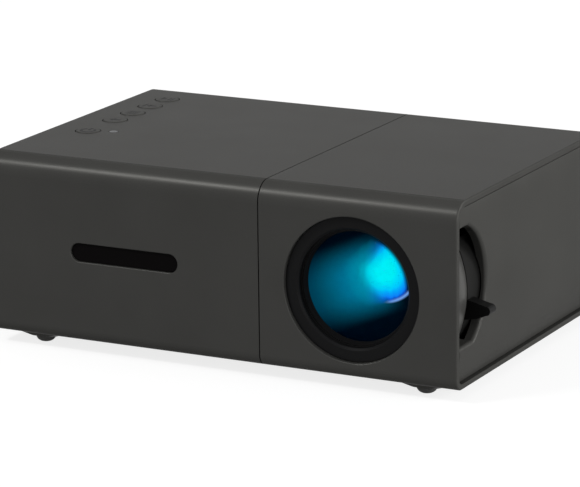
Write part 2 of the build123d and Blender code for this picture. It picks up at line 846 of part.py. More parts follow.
# Focus ring: turns on the lens tube. Two slanted cam slots in it drive the cell's pins,
# and a web carries the curved dust shutter out to the notch.
web_in_r = ring_out_r - web_bite
web_out_r = shutter_r - web_bite
with BuildPart() as focus_ring:
    revolve(
        lens_profile(
            (ring_in_r, deep(ring_front)),
            (ring_out_r, deep(ring_front)),
            (ring_out_r, deep(ring_back)),
            (ring_in_r, deep(ring_back)),
        ),
        axis=lens_axis,
    )
    extrude(
        lens_sector(deep(shutter_back), shutter_r - shutter_wall, shutter_r, shutter_low, shutter_high),
        amount=shutter_back - shutter_front,
    )
    extrude(
        lens_sector(deep(shutter_back), web_in_r, web_out_r, shutter_low, shutter_high),
        amount=shutter_wall,
    )
    for rib_angle in (shutter_low + web_rib_in, lever_angle, shutter_high - web_rib_in):
        extrude(
            lens_sector(
                deep(shutter_back), web_in_r, web_out_r,
                rib_angle - web_rib_half_angle, rib_angle + web_rib_half_angle,
            ),
            amount=shutter_back - shutter_front - web_rib_short,
        )
    slot_mid_r = (ring_in_r + ring_out_r) / 2
    half_sweep = cam_sweep / 2
    slot_run = slot_mid_r * sin(radians(half_sweep))
    slot_rise = cam_travel / 2
    for first in (cam_first, cam_first + 180):
        middle = radians(first - half_sweep)
        slot_plane = Plane(
            (lens_x, (cam_front + cam_back) / 2, lens_z),
            x_dir=(-sin(middle), 0, cos(middle)),
            z_dir=(cos(middle), 0, sin(middle)),
        )
        with BuildSketch(slot_plane) as cam_slot:
            with Locations(Rotation(0, 0, degrees(atan2(slot_rise, slot_run)))):
                SlotCenterToCenter(
                    2 * sqrt(slot_run ** 2 + slot_rise ** 2) + 2 * cam_gap,
                    2 * (cam_pin_r + cam_gap),
                )
        extrude(cam_slot.sketch, amount=ring_out_r + 1, mode=Mode.SUBTRACT)
    lever_z = lens_z + shutter_r * sin(radians(lever_angle))
    lever_y = deep(shutter_front + lever_w / 2)
    peg_plane = Plane(
        (lens_x, lever_y, lens_z),
        x_dir=(0, 1, 0),
        z_dir=(cos(radians(lever_angle)), 0, sin(radians(lever_angle))),
    )
    with BuildSketch(peg_plane) as peg_hole:
        Circle(lever_peg_r + lever_peg_gap)
    extrude(peg_hole.sketch, amount=shutter_r + 1, mode=Mode.SUBTRACT)
    rod_y(lens_x, lens_z, deep(ring_front), deep(ring_back), ring_in_r, Mode.SUBTRACT)
focus_ring.part.label = "focus_ring"
export_step(focus_ring.part, "parts/focus_ring.step")

# Focus lever: the black finger fin, pegged into the shutter
lever_tip_x = x_right + lever_proud
with BuildPart() as focus_lever:
    with BuildSketch(at_y(deep(shutter_front + lever_w))) as fin:
        with BuildLine():
            root_x = lens_x + shutter_r - lever_bite
            tip_x = lever_tip_x - lever_nose
            upper_root = (root_x, lever_z + lever_root / 2)
            lower_root = (root_x, lever_z - lever_root / 2)
            upper_tip = (tip_x, lever_z + lever_nose)
            lower_tip = (tip_x, lever_z - lever_nose)
            hollow = (tip_x - lever_hollow_x, lever_z - lever_nose - lever_hollow_z)
            Line(upper_root, upper_tip)
            ThreePointArc(upper_tip, (lever_tip_x, lever_z), lower_tip)
            Spline(lower_tip, hollow, lower_root)
            Line(lower_root, upper_root)
        make_face()
    extrude(fin.sketch, amount=lever_w)
    rod_y(lens_x, lens_z, deep(0), deep(tube_back), shutter_r, Mode.SUBTRACT)
    with BuildSketch(peg_plane) as peg:
        Circle(lever_peg_r)
    extrude(peg.sketch, amount=shutter_r + lever_bite)
    rod_y(lens_x, lens_z, deep(0), deep(tube_back), shutter_r - shutter_wall, Mode.SUBTRACT)
focus_lever.part.label = "focus_lever"
export_step(focus_lever.part, "parts/focus_lever.step")

# Lens cell: the sliding barrel that holds the glass
cell_face = deep(cell_front)
cell_back = deep(cell_front + cell_len)
cell_in_r = cell_r - cell_wall
with BuildPart() as lens_cell:
    revolve(
        lens_profile(
            (cell_in_r, cell_face),
            (cell_r, cell_face),
            (cell_r, cell_back),
            (cell_in_r - cell_stop, cell_back),
            (cell_in_r - cell_stop, cell_back - cell_stop_t),
            (cell_in_r, cell_back - cell_stop_t - cell_stop / 2),
            (cell_in_r, cell_face + waist_back),
            (cell_in_r - waist_step, cell_face + waist_back - waist_slope),
            (cell_in_r - waist_step, cell_face + waist_front + waist_slope),
            (cell_in_r, cell_face + waist_front),
        ),
        axis=lens_axis,
    )
    with Locations((lens_x, deep(cam_pin_y), lens_z)):
        Cylinder(cam_stem_r, 2 * cell_r, mode=Mode.SUBTRACT)
lens_cell.part.label = "lens_cell"
export_step(lens_cell.part, "parts/lens_cell.step")

# Cam pins: screwed into the cell, through the tube's straight slots, into the ring's cam slots
with BuildPart() as cam_pins:
    for side in (-1, 1):
        with BuildSketch(at_z(lens_z + side * cell_r)) as pin:
            with Locations((lens_x, deep(cam_pin_y))):
                Circle(cam_pin_r)
        extrude(pin.sketch, amount=side * (ring_out_r - cam_pin_sunk - cell_r))
        with BuildSketch(at_z(lens_z + side * (cell_in_r - waist_step + cam_stem_sunk))) as stem:
            with Locations((lens_x, deep(cam_pin_y))):
                Circle(cam_stem_r)
        extrude(stem.sketch, amount=side * (cell_wall + waist_step - cam_stem_sunk))
cam_pins.part.label = "cam_pins"
export_step(cam_pins.part, "parts/cam_pins.step")

# Lens retainer: the thin threaded ring in front of the first glass
glass_r = cell_in_r - glass_gap
front_edge_y = cell_face + glass_front
with BuildPart() as lens_retainer:
    revolve(
        lens_profile(
            (glass_r, cell_face + retainer_front),
            (glass_r, front_edge_y - glass_gap),
            (glass_r - retainer_w, front_edge_y - 3 * glass_gap),
            (glass_r - 2 * glass_gap, cell_face + retainer_front),
        ),
        axis=lens_axis,
    )
lens_retainer.part.label = "lens_retainer"
export_step(lens_retainer.part, "parts/lens_retainer.step")

# Front lens: the large convex glass that shows in the lens hole
with BuildPart() as front_lens:
    revolve(lens_element(front_edge_y, front_glass_t, glass_r, front_glass_bulges), axis=lens_axis)
front_lens.part.label = "front_lens"
export_step(front_lens.part, "parts/front_lens.step")

# Middle lens: seated in the cell's narrow waist
with BuildPart() as middle_lens:
    middle_r = glass_r - waist_step
    middle_y = cell_face + middle_glass_in
    revolve(lens_element(middle_y, middle_glass_t, middle_r, middle_glass_bulges), axis=lens_axis)
middle_lens.part.label = "middle_lens"
export_step(middle_lens.part, "parts/middle_lens.step")

# Rear lens: at the back of the cell
with BuildPart() as rear_lens:
    rear_y = cell_back - rear_glass_in
    revolve(lens_element(rear_y, rear_glass_t, glass_r, rear_glass_bulges), axis=lens_axis)
rear_lens.part.label = "rear_lens"
export_step(rear_lens.part, "parts/rear_lens.step")

# Tube screws: four flush heads that hold the lens tube to the optical box
with BuildPart() as tube_screws:
    for x, z in tube_screw_places:
        rod_y(x, z, flange_front + head_sunk, flange_front + head_h, head_r - fit_gap)
        rod_y(x, z, flange_front + head_sunk, deep(tube_back + tube_screw_bite), screw_r - fit_gap)
tube_screws.part.label = "tube_screws"
export_step(tube_screws.part, "parts/tube_screws.step")

# Optical box: the light tunnel from the LED to the lens, open at the back
box_front = deep(tube_back)
box_rear = deep(box_back)
box_left = lens_x - box_half_w
box_right = lens_x + box_half_w
tunnel_left = box_left + box_wall
tunnel_right = box_right - box_wall
box_roof = ceiling_z - box_roof_gap
tunnel_low = floor_z + box_wall
tunnel_high = box_roof - box_wall
flex_y = deep(plates["lcd_panel"][0] + flex_at)
with BuildPart() as optical_box:
    block((box_left, box_front, floor_z), (box_right, box_rear, box_roof))
    block(
        (tunnel_left, box_front + box_face_t, tunnel_low),
        (tunnel_right, box_rear, tunnel_high),
        Mode.SUBTRACT,
    )
    for x, y in box_screws:
        post(x, y, floor_z, floor_z + box_post_h, box_post_r)
        post(x, y, floor_z, floor_z + base_screw_bite, screw_r - fit_gap, Mode.SUBTRACT)
    rod_y(lens_x, lens_z, box_front, box_front + box_face_t, box_eye_r, Mode.SUBTRACT)
    for x, z in tube_screw_places:
        rod_y(x, z, box_front, deep(tube_back + tube_screw_bite), screw_r - fit_gap, Mode.SUBTRACT)
    for plate_front, plate_depth in plates.values():
        near_rib = deep(plate_front) - plate_gap - plate_rib
        far_rib = deep(plate_front + plate_depth) + plate_gap
        for rib_y in (near_rib, far_rib):
            for rib_x in (tunnel_left, tunnel_right - plate_rib):
                block((rib_x, rib_y, tunnel_low), (rib_x + plate_rib, rib_y + plate_rib, tunnel_high))
    block(
        (box_left, flex_y - flex_gap, z_mid - flex_w / 2 - flex_gap),
        (tunnel_left, flex_y + flex_t + flex_gap, z_mid + flex_w / 2 + flex_gap),
        Mode.SUBTRACT,
    )
optical_box.part.label = "optical_box"
export_step(optical_box.part, "parts/optical_box.step")

# Flat optical plates, each between its pair of ribs in the tunnel
with BuildPart() as front_fresnel:
    optical_plate("front_fresnel")
front_fresnel.part.label = "front_fresnel"
export_step(front_fresnel.part, "parts/front_fresnel.step")

with BuildPart() as lcd_panel:
    optical_plate("lcd_panel")
lcd_panel.part.label = "lcd_panel"
export_step(lcd_panel.part, "parts/lcd_panel.step")

with BuildPart() as rear_fresnel:
    optical_plate("rear_fresnel")
rear_fresnel.part.label = "rear_fresnel"
export_step(rear_fresnel.part, "parts/rear_fresnel.step")

with BuildPart() as heat_glass:
    optical_plate("heat_glass")
heat_glass.part.label = "heat_glass"
export_step(heat_glass.part, "parts/heat_glass.step")

# LED module: a copper-cored square board with its light dome
sink_face = box_rear
led_face = sink_face - led_plate_t
with BuildPart() as led_module:
    block(
        (lens_x - led_plate / 2, led_face, lens_z - led_plate / 2),
        (lens_x + led_plate / 2, sink_face, lens_z + led_plate / 2),
    )
    with BuildSketch(lens_plane) as dome:
        with BuildLine():
            Line((0, led_face - led_dome_h), (0, led_face))
            Line((0, led_face), (led_dome_r, led_face))
            Line((led_dome_r, led_face), (led_dome_r, led_face - led_dome_edge))
            TangentArc(
                (0, led_face - led_dome_h), (led_dome_r, led_face - led_dome_edge), tangent=(1, 0)
            )
        make_face()
    revolve(dome.sketch, axis=lens_axis)
led_module.part.label = "led_module"
export_step(led_module.part, "parts/led_module.step")

# Condenser lens and the holder that stands on the LED board
condenser_y = led_face - condenser_from_led
seat_y = condenser_y + condenser_edge + condenser_bulges[1]
with BuildPart() as condenser_lens:
    revolve(
        lens_element(condenser_y, condenser_edge, condenser_r, condenser_bulges),
        axis=lens_axis,
    )
condenser_lens.part.label = "condenser_lens"
export_step(condenser_lens.part, "parts/condenser_lens.step")

with BuildPart() as condenser_holder:
    revolve(
        lens_profile(
            (condenser_r + glass_gap, condenser_y),
            (holder_r, condenser_y),
            (holder_r, led_face),
            (condenser_r - holder_seat, led_face),
            (condenser_r - holder_seat, seat_y),
            (condenser_r + glass_gap, seat_y),
        ),
        axis=lens_axis,
    )
    block(
        (lens_x - led_plate / 2, condenser_y, lens_z - led_plate / 2),
        (lens_x + led_plate / 2, led_face, lens_z + led_plate / 2),
        Mode.INTERSECT,
    )
condenser_holder.part.label = "condenser_holder"
export_step(condenser_holder.part, "parts/condenser_holder.step")

# Heat sink: closes the tunnel's back, with upright fins towards the back vents
sink_back = inner_back - sink_gap
with BuildPart() as heat_sink:
    block(
        (lens_x - sink_w / 2, sink_face, floor_z),
        (lens_x + sink_w / 2, sink_face + sink_base_t, floor_z + sink_h),
    )
    fin_step = (sink_w - sink_fin_t) / (sink_fins - 1)
    for fin in range(sink_fins):
        fin_x = lens_x - sink_w / 2 + fin * fin_step
        fin_front = sink_face + sink_base_t
        block((fin_x, fin_front, floor_z), (fin_x + sink_fin_t, sink_back, floor_z + sink_h))
heat_sink.part.label = "heat_sink"
export_step(heat_sink.part, "parts/heat_sink.step")

# Chassis: the tray on the main sleeve's floor that carries the main board
chassis_top = floor_z + chassis_t
with BuildPart() as chassis:
    block(
        (x_left + board_left, deep(chassis_front), floor_z),
        (x_left + board_right, deep(board_back), chassis_top),
    )
    post(tripod_x, 0, floor_z, chassis_top, tripod_boss_r + tripod_boss_clear, Mode.SUBTRACT)
    for x, y in board_posts:
        post(x, y, chassis_top, board_bottom, post_r)
        post(x, y, board_bottom - board_screw_bite, board_bottom, screw_r - fit_gap, Mode.SUBTRACT)
    for x, y in chassis_screws:
        post(x, y, chassis_top, board_bottom - board_clear, post_r)
        post(x, y, floor_z, floor_z + base_screw_bite, screw_r - fit_gap, Mode.SUBTRACT)
chassis.part.label = "chassis"
export_step(chassis.part, "parts/chassis.step")

# Main board, with a round cut for the tripod boss
with BuildPart() as main_board:
    block(
        (x_left + board_left, deep(board_front), board_bottom),
        (x_left + board_right, deep(board_back), board_top),
    )
    post(tripod_x, 0, board_bottom, board_top, tripod_boss_r + tripod_boss_clear, Mode.SUBTRACT)
    for x, y in board_posts:
        post(x, y, board_bottom, board_top, screw_r + fit_gap, Mode.SUBTRACT)
main_board.part.label = "main_board"
export_step(main_board.part, "parts/main_board.step")

# Board parts: the larger chips, coils and capacitors, all standing on the main board.
# Each chip has its place from the left and the front, then its width, depth and height.
chips = {
    "processor": (30.0, 30.0, 14.0, 14.0, 1.6),
    "memory": (48.0, 22.0, 11.0, 9.0, 1.2),
    "lamp driver": (62.0, 24.0, 8.0, 6.0, 1.2),
    "power coil": (28.0, 46.0, 12.0, 12.0, 4.5),
    "driver coil": (52.0, 44.0, 7.0, 7.0, 3.0),
    "sound amplifier": (44.0, 56.0, 9.0, 7.0, 1.4),
}
capacitors = [(22.5, 18.0), (40.0, 14.0), (61.0, 58.0)]
with BuildPart() as board_parts:
    for at_left, at_front, chip_w, chip_d, chip_h in chips.values():
        x, y = x_left + at_left, deep(at_front)
        block(
            (x - chip_w / 2, y - chip_d / 2, board_top),
            (x + chip_w / 2, y + chip_d / 2, board_top + chip_h),
        )
    for at_left, at_front in capacitors:
        post(x_left + at_left, deep(at_front), board_top, board_top + capacitor_h, capacitor_r)
board_parts.part.label = "board_parts"
export_step(board_parts.part, "parts/board_parts.step")

# Display flex: from the panel's edge, out of the tunnel's side slot and down to its connector
flex_end_x = x_left + board_right - flex_in
flex_edge = tunnel_left + plate_gap
flex_top = z_mid + flex_w / 2
connector_top = board_top + connector_h
with BuildPart() as display_flex:
    block((flex_end_x, flex_y, flex_top - flex_w), (flex_edge, flex_y + flex_t, flex_top))
    block((flex_end_x, flex_y, connector_top), (flex_end_x + flex_fold_w, flex_y + flex_t, flex_top))
display_flex.part.label = "display_flex"
export_step(display_flex.part, "parts/display_flex.step")

with BuildPart() as flex_connector:
    block(
        (flex_end_x - connector_end, flex_y - connector_front, board_top),
        (flex_end_x + flex_fold_w + connector_end, flex_y + connector_back, connector_top),
    )
flex_connector.part.label = "flex_connector"
export_step(flex_connector.part, "parts/flex_connector.step")

# Infrared window: a dark pill in the front slot, with a flange behind the wall
with BuildPart() as ir_window:
    with BuildSketch(at_y(deep(wall))) as pane:
        with Locations((ir_x, ir_z)):
            SlotOverall(ir_w - 2 * ir_gap, ir_h - 2 * ir_gap)
    extrude(pane.sketch, amount=wall - ir_sunk)
    with BuildSketch(at_y(deep(wall + ir_flange_t))) as flange:
        with Locations((ir_x, ir_z)):
            SlotOverall(ir_w + 2 * ir_flange, ir_h + 2 * ir_flange)
    extrude(flange.sketch, amount=ir_flange_t)
ir_window.part.label = "ir_window"
export_step(ir_window.part, "parts/ir_window.step")

# Infrared receiver on its small upright board, behind the window
ir_board_y = deep(board_front + ir_board_in)
with BuildPart() as ir_board:
    block(
        (ir_x - ir_board_w / 2, ir_board_y, board_top),
        (ir_x + ir_board_w / 2, ir_board_y + ir_board_t, ir_z + ir_board_over),
    )
ir_board.part.label = "ir_board"
export_step(ir_board.part, "parts/ir_board.step")

with BuildPart() as ir_receiver:
    block(
        (ir_x - receiver_w / 2, ir_board_y - receiver_t, ir_z - receiver_h / 2),
        (ir_x + receiver_w / 2, ir_board_y, ir_z + receiver_h / 2),
    )
    receiver_face = ir_board_y - receiver_t
    rod_y(ir_x, ir_z, receiver_face - receiver_dome_h, receiver_face, receiver_dome_r)
ir_receiver.part.label = "ir_receiver"
export_step(ir_receiver.part, "parts/ir_receiver.step")

# Keys: each is a round cap with a flange under the wall. They travel down and spring back.
for name, (x, y) in key_places.items():
    with BuildPart() as key:
        post(x, y, key_flange_bottom, z_top + key_proud, key_r)
        fillet(key.faces().sort_by(Axis.Z)[-1].edges(), key_round)
        post(x, y, key_flange_bottom, key_flange_top, key_flange_r)
    key.part.label = name
    export_step(key.part, f"parts/{name}.step")

# Key board under the keys, on posts from the sleeve's ceiling
with BuildPart() as keypad_board:
    block(
        (x_left + keypad_left, keypad_front, keypad_top - keypad_t),
        (x_left + keypad_right, keypad_back, keypad_top),
    )
    for x, y in keypad_posts:
        post(x, y, keypad_top - keypad_t, keypad_top, screw_r + fit_gap, Mode.SUBTRACT)
keypad_board.part.label = "keypad_board"
export_step(keypad_board.part, "parts/keypad_board.step")

with BuildPart() as key_switches:
    for x, y in key_places.values():
        block(
            (x - switch_body / 2, y - switch_body / 2, keypad_top),
            (x + switch_body / 2, y + switch_body / 2, keypad_top + switch_body_h),
        )
        post(x, y, keypad_top, switch_top, switch_stem_r)
key_switches.part.label = "key_switches"
export_step(key_switches.part, "parts/key_switches.step")

# Status lamp: a clear pipe from the LED on the key board to the top face
with BuildPart() as status_lamp:
    post(*lamp_place, keypad_top, z_top, lamp_r)
    post(*lamp_place, keypad_top, ceiling_z, lamp_r + lamp_collar)
status_lamp.part.label = "status_lamp"
export_step(status_lamp.part, "parts/status_lamp.step")

with BuildPart() as keypad_screws:
    for x, y in keypad_posts:
        post(x, y, keypad_top - keypad_t - head_h, keypad_top - keypad_t, keypad_head_r)
        post(x, y, keypad_top - keypad_t - head_h, ceiling_z - head_sunk, screw_r - fit_gap)
keypad_screws.part.label = "keypad_screws"
export_step(keypad_screws.part, "parts/keypad_screws.step")

# Fan: a square frame with four struts and a fixed shaft, and the rotor that spins on it
rotor_face_x = fan_x + fan_face_gap
rotor_back_x = fan_back_x - fan_wall_t - fan_back_gap
with BuildPart() as fan_frame:
    block(
        (fan_x, fan_y - fan_size / 2, fan_z - fan_size / 2),
        (fan_back_x, fan_y + fan_size / 2, fan_z + fan_size / 2),
    )
    rod_x(fan_y, fan_z, fan_x, fan_back_x, fan_bore_r, Mode.SUBTRACT)
    rod_x(fan_y, fan_z, fan_back_x - fan_wall_t, fan_back_x, fan_hub_r)
    rod_x(fan_y, fan_z, rotor_face_x + fan_cap_t + fan_back_gap, fan_back_x, fan_shaft_r)
    for turn in (45, 135):
        with BuildSketch(at_x(fan_back_x - fan_wall_t)) as strut:
            with Locations((fan_y, fan_z)):
                Rectangle(fan_size - fan_wall_t, fan_strut_w, rotation=turn)
        extrude(strut.sketch, amount=fan_wall_t)
    for y, z in fan_screw_places:
        rod_x(y, z, fan_x, fan_back_x, fan_screw_r, Mode.SUBTRACT)
fan_frame.part.label = "fan_frame"
export_step(fan_frame.part, "parts/fan_frame.step")

# Fan rotor: a hub with twisted blades
blade_l = fan_blade_r - fan_hub_r + fan_blade_bite
blade_ends = {rotor_face_x + fan_blade_in: 0, rotor_back_x - fan_blade_in: fan_blade_twist}
with BuildPart() as blade:
    for blade_x, turn in blade_ends.items():
        with BuildSketch(at_x(blade_x)):
            with Locations(Location((fan_y, fan_z), turn)):
                with Locations((fan_blade_r - blade_l / 2, 0)):
                    Rectangle(blade_l, fan_blade_t)
    loft()
with BuildPart() as fan_rotor:
    rod_x(fan_y, fan_z, rotor_face_x, rotor_back_x, fan_hub_r)
    for number in range(fan_blades):
        add(blade.part.rotate(Axis((0, fan_y, fan_z), (1, 0, 0)), number * 360 / fan_blades))
    rod_x(fan_y, fan_z, rotor_face_x + fan_cap_t, rotor_back_x, fan_shaft_r + run_gap, Mode.SUBTRACT)
fan_rotor.part.label = "fan_rotor"
export_step(fan_rotor.part, "parts/fan_rotor.step")

# Fan screws: from the fan's back, through its corners, into the vent panel's pads
with BuildPart() as fan_screws:
    for y, z in fan_screw_places:
        rod_x(y, z, fan_x - fan_screw_bite, fan_back_x + head_h, fan_screw_r - fit_gap)
        rod_x(y, z, fan_back_x, fan_back_x + head_h, head_r)
fan_screws.part.label = "fan_screws"
export_step(fan_screws.part, "parts/fan_screws.step")

# Speaker: a round driver beside the fan, its cone and dust cap facing the grille.
# Its profile is radius and depth from its rim's face.
speaker_plane = Plane((speaker_x, speaker_y, speaker_z), x_dir=(0, 1, 0), z_dir=(0, 0, -1))
cone_r = speaker_r - speaker_rim_w
with BuildPart() as speaker:
    with BuildSketch(speaker_plane) as driver:
        with BuildLine():
            cap_top = (0, speaker_cone_in - speaker_cap_h)
            cap_edge = (speaker_cap_r, speaker_cone_in)
            TangentArc(cap_top, cap_edge, tangent=(1, 0))
            Polyline(
                cap_edge,
                (cone_r, speaker_surround_in),
                (cone_r, 0),
                (speaker_r, 0),
                (speaker_r, speaker_rim_t),
                (speaker_basket_r, speaker_rim_t),
                (speaker_basket_r, speaker_basket_t),
                (speaker_magnet_r, speaker_basket_t),
                (speaker_magnet_r, speaker_t),
                (0, speaker_t),
                cap_top,
            )
        make_face()
    revolve(driver.sketch, axis=Axis((0, speaker_y, speaker_z), (1, 0, 0)))
speaker.part.label = "speaker"
export_step(speaker.part, "parts/speaker.step")

# Sockets on the back edge of the main board
with BuildPart() as hdmi_socket:
    shell_socket(hdmi_at, hdmi_z, hdmi_size, hdmi_corner, hdmi_tongue)
hdmi_socket.part.label = "hdmi_socket"
export_step(hdmi_socket.part, "parts/hdmi_socket.step")

with BuildPart() as usb_socket:
    shell_socket(usb_at, usb_z, usb_size, usb_corner, usb_tongue)
usb_socket.part.label = "usb_socket"
export_step(usb_socket.part, "parts/usb_socket.step")

with BuildPart() as card_socket:
    card_x = ports_x + usb_at
    block(
        (card_x - card_w / 2, socket_front, board_bottom - card_h),
        (card_x + card_w / 2, plate_y, board_bottom),
    )
    block(
        (card_x - card_w / 2 + card_wall, socket_front + card_wall, board_bottom - card_h + shell_t),
        (card_x + card_w / 2 - card_wall, plate_y, board_bottom - shell_t),
        Mode.SUBTRACT,
    )
card_socket.part.label = "card_socket"
export_step(card_socket.part, "parts/card_socket.step")

with BuildPart() as av_jack:
    av_x = ports_x + av_at
    block(
        (av_x - jack_w / 2, socket_front, board_top),
        (av_x + jack_w / 2, plate_inner_y, board_top + jack_w),
    )
    rod_y(av_x, jack_z, plate_inner_y, plate_y, jack_bore_r + jack_wall)
    rod_y(av_x, jack_z, plate_y - jack_len, plate_y, jack_bore_r, Mode.SUBTRACT)
av_jack.part.label = "av_jack"
export_step(av_jack.part, "parts/av_jack.step")

with BuildPart() as dc_jack:
    dc_x = ports_x + dc_at
    block(
        (dc_x - dc_w / 2, socket_front, board_top),
        (dc_x + dc_w / 2, plate_inner_y, board_top + dc_h),
    )
    rod_y(dc_x, dc_z, plate_inner_y, plate_y, dc_bore_r + jack_wall)
    rod_y(dc_x, dc_z, socket_front + socket_back_t, plate_y, dc_bore_r, Mode.SUBTRACT)
    rod_y(dc_x, dc_z, socket_front + socket_back_t, plate_y - dc_pin_sunk, dc_pin_r)
dc_jack.part.label = "dc_jack"
export_step(dc_jack.part, "parts/dc_jack.step")

# Tripod insert: a brass bush with a flange, pressed up into the boss
with BuildPart() as tripod_insert:
    post(tripod_x, 0, z_base, insert_top, insert_r)
    post(tripod_x, 0, z_base, z_base + insert_flange_t, insert_flange_r)
    post(tripod_x, 0, z_base, z_base + thread_len, thread_r, Mode.SUBTRACT)
tripod_insert.part.label = "tripod_insert"
export_step(tripod_insert.part, "parts/tripod_insert.step")

# Feet: four soft domes, each with a stem in its pad
foot_top = z_base - foot_pad_h
stem_top = foot_top + foot_stem_len - fit_gap
stem_side = foot_stem_r - foot_stem_gap
with BuildPart() as feet:
    for x, y in foot_places:
        with BuildSketch(Plane((x, y, 0), x_dir=(1, 0, 0), z_dir=(0, -1, 0))) as half:
            with BuildLine():
                Polyline(
                    (foot_flat_r, 0),
                    (0, 0),
                    (0, stem_top),
                    (stem_side, stem_top),
                    (stem_side, foot_top),
                    (foot_r, foot_top),
                )
                ThreePointArc((foot_r, foot_top), (foot_r - foot_bulge, foot_top / 3), (foot_flat_r, 0))
            make_face()
        revolve(half.sketch, axis=Axis((x, y, 0), (0, 0, 1)))
feet.part.label = "feet"
export_step(feet.part, "parts/feet.step")

# Base screws: heads flush in the bottom, into the chassis and the optical box
with BuildPart() as base_screws:
    for x, y in chassis_screws + box_screws:
        post(x, y, z_base + head_sunk, z_base + head_h, head_r)
        post(x, y, z_base + head_sunk, floor_z + base_screw_bite, screw_r - fit_gap)
        with BuildSketch(at_z(z_base + head_sunk)) as drive:
            with Locations((x, y)):
                Rectangle(drive_l, drive_w)
                Rectangle(drive_w, drive_l)
        extrude(drive.sketch, amount=drive_depth, mode=Mode.SUBTRACT)
base_screws.part.label = "base_screws"
export_step(base_screws.part, "parts/base_screws.step")

# Board screws: into the chassis posts
with BuildPart() as board_screws:
    for x, y in board_posts:
        post(x, y, board_top, board_top + head_h, head_r)
        post(x, y, board_bottom - board_screw_bite, board_top + head_h, screw_r - fit_gap)
board_screws.part.label = "board_screws"
export_step(board_screws.part, "parts/board_screws.step")
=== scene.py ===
import json
import math

import bmesh
import bpy
from mathutils import Matrix, Vector


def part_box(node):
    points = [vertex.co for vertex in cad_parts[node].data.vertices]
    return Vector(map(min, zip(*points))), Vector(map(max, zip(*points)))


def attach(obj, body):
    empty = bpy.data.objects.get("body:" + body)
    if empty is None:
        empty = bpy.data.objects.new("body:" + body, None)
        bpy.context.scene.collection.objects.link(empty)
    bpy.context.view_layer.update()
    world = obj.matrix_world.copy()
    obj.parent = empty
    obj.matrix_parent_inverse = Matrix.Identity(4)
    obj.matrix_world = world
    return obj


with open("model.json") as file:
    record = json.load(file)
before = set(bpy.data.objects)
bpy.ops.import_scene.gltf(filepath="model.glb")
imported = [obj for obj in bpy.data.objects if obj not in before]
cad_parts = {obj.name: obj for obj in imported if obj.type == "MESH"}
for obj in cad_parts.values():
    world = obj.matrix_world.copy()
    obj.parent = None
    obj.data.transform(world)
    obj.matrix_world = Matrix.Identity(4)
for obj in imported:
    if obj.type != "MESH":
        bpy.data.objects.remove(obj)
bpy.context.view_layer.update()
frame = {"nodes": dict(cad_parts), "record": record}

MM = 0.001

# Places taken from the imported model, in metres
LENS_LOW, LENS_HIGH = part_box("front_lens")
LENS_CENTRE = (LENS_LOW + LENS_HIGH) / 2
LENS_RADIUS = (LENS_HIGH.x - LENS_LOW.x) / 2

# Camera, solved from the body's edges in the photograph
CAMERA_PLACE = Vector((0.398827, -0.774495, 0.247459))
CAMERA_RIGHT = Vector((0.88828372, 0.45915974, -0.01115201))
CAMERA_UP = Vector((-0.10538754, 0.22739389, 0.96808341))
CAMERA_LENS = 225.53
CAMERA_SENSOR = 36


def add_camera():
    """The photograph's camera."""
    data = bpy.data.cameras.new("camera")
    data.lens = CAMERA_LENS
    data.sensor_width = CAMERA_SENSOR
    camera = bpy.data.objects.new("camera", data)
    back = CAMERA_RIGHT.cross(CAMERA_UP)
    turn = Matrix((CAMERA_RIGHT, CAMERA_UP, back)).transposed().to_4x4()
    camera.matrix_world = Matrix.Translation(CAMERA_PLACE) @ turn
    bpy.context.scene.collection.objects.link(camera)
    bpy.context.scene.camera = camera


# Small helpers for shader nodes


def new_look(name, **sockets):
    """A material with a principled shader, its plain sockets set by name."""
    material = bpy.data.materials.new(name)
    material.use_nodes = True
    tree = material.node_tree
    shader = tree.nodes["Principled BSDF"]
    for socket, value in sockets.items():
        shader.inputs[socket.replace("_", " ")].default_value = value
    return material, tree, shader


def add(tree, kind, **settings):
    """A node of this kind, with its settings."""
    node = tree.nodes.new(kind)
    for name, value in settings.items():
        setattr(node, name, value)
    return node


def feed(tree, socket, value):
    """Links an output to a socket, or writes a number on it."""
    if isinstance(value, bpy.types.NodeSocket):
        tree.links.new(value, socket)
    else:
        socket.default_value = value


def math_node(tree, operation, a, b=0.0, c=0.0):
    """The result of one math node."""
    node = add(tree, "ShaderNodeMath", operation=operation)
    for socket, value in zip(node.inputs, (a, b, c)):
        feed(tree, socket, value)
    return node.outputs[0]


def product(tree, first, *others):
    """Several values multiplied."""
    for other in others:
        first = math_node(tree, "MULTIPLY", first, other)
    return first


def largest(tree, first, *others):
    """The largest of several values."""
    for other in others:
        first = math_node(tree, "MAXIMUM", first, other)
    return first


def within(tree, value, middle, half):
    """Whether a value lies this near a middle."""
    off = math_node(tree, "ABSOLUTE", math_node(tree, "SUBTRACT", value, middle))
    return math_node(tree, "LESS_THAN", off, half)


def place(tree, stretch=(1.0, 1.0, 1.0)):
    """The object's own coordinates in metres, stretched."""
    coordinates = add(tree, "ShaderNodeTexCoord")
    mapping = add(tree, "ShaderNodeMapping")
    mapping.inputs["Scale"].default_value = stretch
    tree.links.new(coordinates.outputs["Object"], mapping.inputs["Vector"])
    return mapping.outputs["Vector"]


def place_mm(tree):
    """The object's own coordinates in millimetres, one by one."""
    split = add(tree, "ShaderNodeSeparateXYZ")
    tree.links.new(place(tree, (1 / MM, 1 / MM, 1 / MM)), split.inputs[0])
    return split.outputs


def place_from_lens(tree):
    """How far a point lies to the right of the lens axis and above it, in millimetres."""
    x, _, z = place_mm(tree)
    across = math_node(tree, "SUBTRACT", x, LENS_CENTRE.x / MM)
    up = math_node(tree, "SUBTRACT", z, LENS_CENTRE.z / MM)
    return across, up


def length(tree, x, y):
    """The length of a flat vector."""
    squares = math_node(tree, "MULTIPLY_ADD", x, x, math_node(tree, "MULTIPLY", y, y))
    return math_node(tree, "SQRT", squares)


